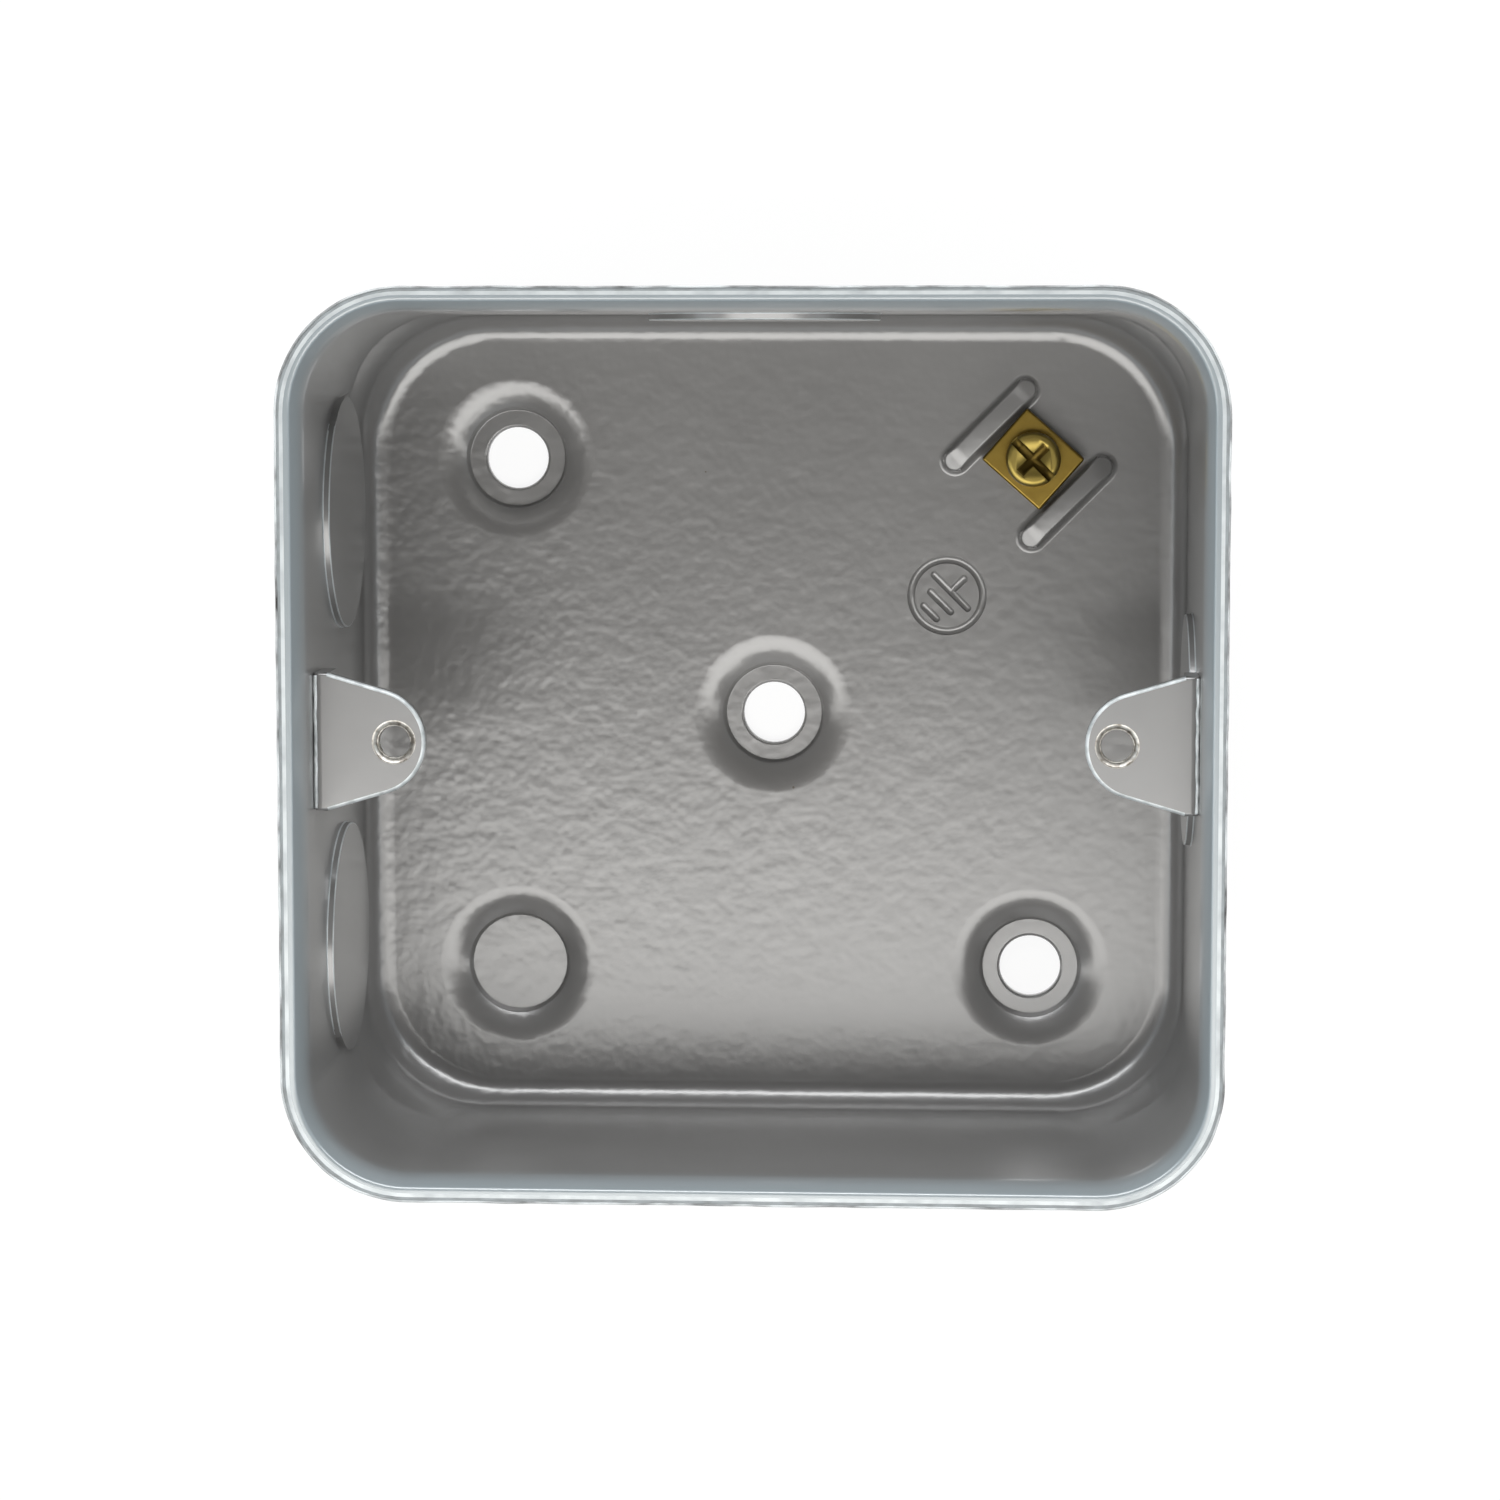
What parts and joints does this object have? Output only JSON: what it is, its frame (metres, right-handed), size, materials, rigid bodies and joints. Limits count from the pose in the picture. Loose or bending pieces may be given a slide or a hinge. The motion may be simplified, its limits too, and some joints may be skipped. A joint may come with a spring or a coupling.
{
  "type": "metal back box",
  "caption": "Square drawn-steel wall box with rounded corners, a rolled-out rim, inward screw lugs, pressed feet, knockouts and a brass earth terminal, to carry a switch or socket.",
  "frame": {"origin": "middle of the wall plane that the pressed feet stand on", "axes": "+Z out of the open mouth, +X to the right and +Y up when the box is fixed to a wall, lugs on the left and right"},
  "size_m": [0.078, 0.0756, 0.038],
  "materials": {
    "grey_enamel": "semi-gloss grey stoved enamel with orange peel, on sheet steel",
    "plate_brass": "satin rolled brass",
    "screw_brass": "bright turned brass"
  },
  "bodies": {
    "root": {"box_shell": "grey_enamel", "left_lug": "grey_enamel", "right_lug": "grey_enamel", "earth_clamp_plate": "plate_brass", "earth_screw": "screw_brass"}
  },
  "joints": []
}
